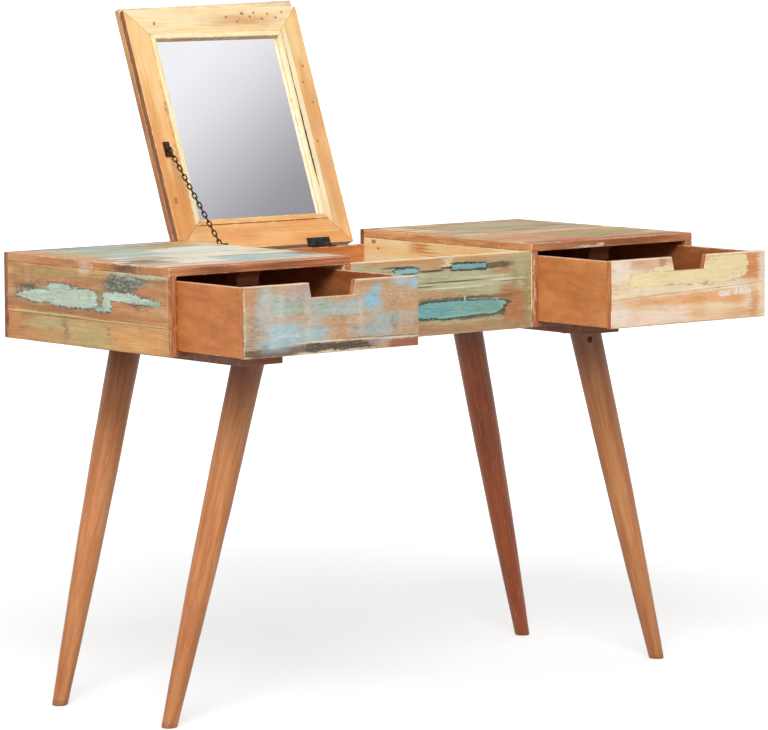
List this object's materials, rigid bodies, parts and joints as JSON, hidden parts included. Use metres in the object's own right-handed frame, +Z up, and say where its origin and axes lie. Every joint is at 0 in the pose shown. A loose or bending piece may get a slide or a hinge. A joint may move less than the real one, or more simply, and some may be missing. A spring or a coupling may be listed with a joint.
{
  "type": "dressing table",
  "caption": "Low dressing table of reclaimed planks on splayed turned legs, with a drawer in each side cabinet and a mirror lid held open by a chain over the middle compartment.",
  "frame": {"origin": "on the floor, under the centre of the whole shape with drawers pulled and lid open as stored", "axes": "+X to the user's right, +Y from the drawer fronts towards the back, +Z up"},
  "size_m": [1.12, 0.8378, 1.1441],
  "materials": {
    "left_top_planks": "worn cream, turquoise and pale blue paint",
    "right_top_planks": "worn olive, peach and grey-blue paint",
    "painted_end": "bare tan wood with chipped mint paint",
    "painted_front": "worn pale blue and cream paint over tan wood",
    "sage_front": "worn sage paint with turquoise patches",
    "yellow_pine": "planed pine",
    "orange_pine": "oiled pine",
    "orange_plywood": "oiled plywood",
    "brown_plywood": "dark plywood",
    "stained_leg": "satin red-brown stain",
    "honey_pine": "waxed pine",
    "pale_bead": "pale waxed pine",
    "worn_plank": "worn brown plank",
    "mirror_glass": "silvered float glass",
    "dark_bronze": "dark antiqued bronze",
    "dull_steel": "dull steel"
  },
  "bodies": {
    "case": {"back_left_leg": "stained_leg", "back_right_leg": "stained_leg", "centre_back_rail": "orange_pine", "centre_bottom": "yellow_pine", "centre_front_panel": "sage_front", "chain_screw_eye": "dark_bronze", "front_left_leg": "stained_leg", "front_right_leg": "stained_leg", "front_right_leg_screw": "dull_steel", "left_back_panel": "painted_end", "left_batten_bolt": "dull_steel", "left_cabinet_bottom": "brown_plywood", "left_end_lower_board": "painted_end", "left_end_upper_board": "painted_end", "left_hinge_lower_leaf": "dark_bronze", "left_inner_side": "yellow_pine", "left_kicker_rail": "brown_plywood", "left_leg_batten": "brown_plywood", "left_top_plank_1": "left_top_planks", "left_top_plank_2": "left_top_planks", "left_top_plank_3": "left_top_planks", "left_top_plank_4": "left_top_planks", "right_back_panel": "painted_end", "right_batten_bolt": "dull_steel", "right_cabinet_bottom": "brown_plywood", "right_end_board": "painted_end", "right_hinge_lower_leaf": "dark_bronze", "right_inner_side": "yellow_pine", "right_kicker_rail": "brown_plywood", "right_leg_batten": "brown_plywood", "right_top_plank_1": "right_top_planks", "right_top_plank_2": "right_top_planks", "right_top_plank_3": "right_top_planks", "right_top_plank_4": "right_top_planks", "stay_chain": "dark_bronze"},
    "left_drawer": {"left_drawer_back": "orange_plywood", "left_drawer_bottom": "brown_plywood", "left_drawer_front": "painted_front", "left_drawer_left_side": "orange_plywood", "left_drawer_right_side": "orange_plywood"},
    "right_drawer": {"right_drawer_back": "orange_plywood", "right_drawer_bottom": "brown_plywood", "right_drawer_front_lower": "painted_front", "right_drawer_front_upper": "painted_front", "right_drawer_left_side": "orange_plywood", "right_drawer_right_side": "orange_plywood"},
    "lid": {"chain_bracket": "dark_bronze", "left_hinge_upper_leaf": "dark_bronze", "lid_board": "worn_plank", "lid_frame_bottom": "honey_pine", "lid_frame_left": "honey_pine", "lid_frame_right": "honey_pine", "lid_frame_top": "honey_pine", "mirror_bead_bottom": "pale_bead", "mirror_bead_left": "pale_bead", "mirror_bead_right": "pale_bead", "mirror_bead_top": "pale_bead", "mirror_glass": "mirror_glass", "right_hinge_upper_leaf": "dark_bronze"}
  },
  "joints": [
    {"name": "left_drawer_slide", "type": "slide", "parent": "case", "child": "left_drawer", "axis": [0, -1, 0], "range_m": [-0.169, 0.131]},
    {"name": "right_drawer_slide", "type": "slide", "parent": "case", "child": "right_drawer", "axis": [0, -1, 0], "range_m": [-0.178, 0.122]},
    {"name": "lid_hinge", "type": "hinge", "parent": "case", "child": "lid", "pos_m": [0, 0.22949, 0.72395], "axis": [1, 0, 0], "range_deg": [0, 111.5], "deforming": ["stay_chain"]}
  ]
}
